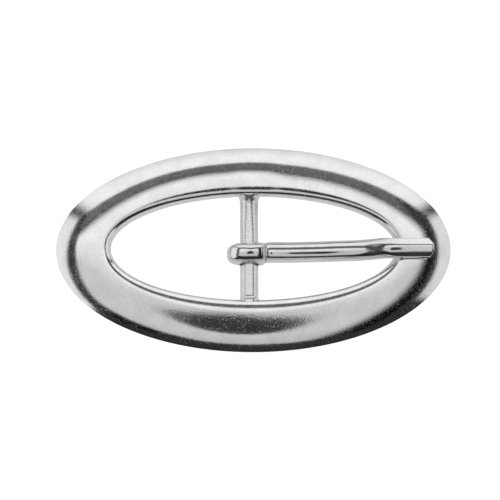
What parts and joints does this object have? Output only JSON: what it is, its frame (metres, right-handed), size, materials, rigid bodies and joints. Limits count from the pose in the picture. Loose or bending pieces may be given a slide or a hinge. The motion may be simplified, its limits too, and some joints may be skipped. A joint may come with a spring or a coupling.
{
  "type": "belt buckle",
  "caption": "Oval centre-bar belt buckle in polished nickel plate: a crowned oval rim with a cast-in bar, and a faceted prong that swings on the bar and rests on the rim.",
  "frame": {"origin": "middle of the oval, on the plane of the flat back", "axes": "+X along the strap towards the prong's tip, +Y along the bar, +Z out of the front of the buckle"},
  "size_m": [0.0768, 0.0408, 0.0072],
  "materials": {
    "frame_nickel": "polished nickel plate on a zinc casting, with fine surface grain and wear marks",
    "prong_nickel": "polished nickel plate on a zinc casting"
  },
  "bodies": {
    "frame": {"frame": "frame_nickel"},
    "prong": {"prong": "prong_nickel"}
  },
  "joints": [
    {"name": "prong_hinge", "type": "hinge", "parent": "frame", "child": "prong", "pos_m": [-0.0008, -0.0012, 0.0026], "axis": [0, -1, 0], "range_deg": [0, 165]}
  ]
}
